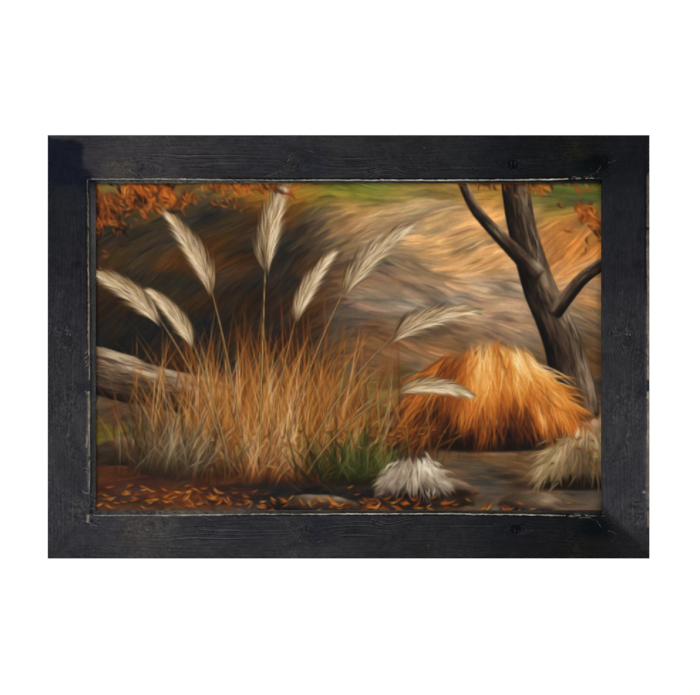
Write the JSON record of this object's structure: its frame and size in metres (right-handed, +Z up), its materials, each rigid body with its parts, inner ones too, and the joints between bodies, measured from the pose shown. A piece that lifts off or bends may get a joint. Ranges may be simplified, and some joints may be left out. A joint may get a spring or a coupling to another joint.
{
  "type": "framed art print",
  "caption": "Wall-hung landscape print in a flat, mitred wooden frame with dark rustic paint rubbed bare along the inner edge; board back, points and a sawtooth hanger.",
  "frame": {"origin": "centre notch of the sawtooth hanger, on the plane of the wall", "axes": "+X to the picture's right as seen from the front, +Y into the wall, +Z up; the picture faces -Y"},
  "size_m": [0.6858, 0.022, 0.4826],
  "materials": {
    "painted_wood": "dark charcoal satin paint over brushed softwood, rubbed through along the inner edge",
    "art_print": "matte printed art paper with a canvas texture",
    "mount_board": "off-white fibre board",
    "hardboard": "brown pressed hardboard, smooth face out",
    "point_steel": "thin spring steel, lightly oxidised",
    "hanger_steel": "zinc-plated strip steel",
    "nail_brass": "brass-plated steel",
    "bumper_rubber": "dark moulded rubber"
  },
  "bodies": {
    "root": {"rail_top": "painted_wood", "rail_right": "painted_wood", "rail_bottom": "painted_wood", "rail_left": "painted_wood", "print_sheet": "art_print", "mount_board": "mount_board", "back_board": "hardboard", "bumper_left": "bumper_rubber", "bumper_right": "bumper_rubber", "hanger_nail_1": "nail_brass", "hanger_nail_2": "nail_brass", "point_bottom_1": "point_steel", "point_bottom_2": "point_steel", "point_bottom_3": "point_steel", "point_bottom_4": "point_steel", "point_left_1": "point_steel", "point_left_2": "point_steel", "point_left_3": "point_steel", "point_right_1": "point_steel", "point_right_2": "point_steel", "point_right_3": "point_steel", "point_top_1": "point_steel", "point_top_2": "point_steel", "point_top_3": "point_steel", "point_top_4": "point_steel", "sawtooth_hanger": "hanger_steel", "v_nail_bottom_left_1": "point_steel", "v_nail_bottom_left_2": "point_steel", "v_nail_bottom_right_1": "point_steel", "v_nail_bottom_right_2": "point_steel", "v_nail_top_left_1": "point_steel", "v_nail_top_left_2": "point_steel", "v_nail_top_right_1": "point_steel", "v_nail_top_right_2": "point_steel"}
  },
  "joints": []
}
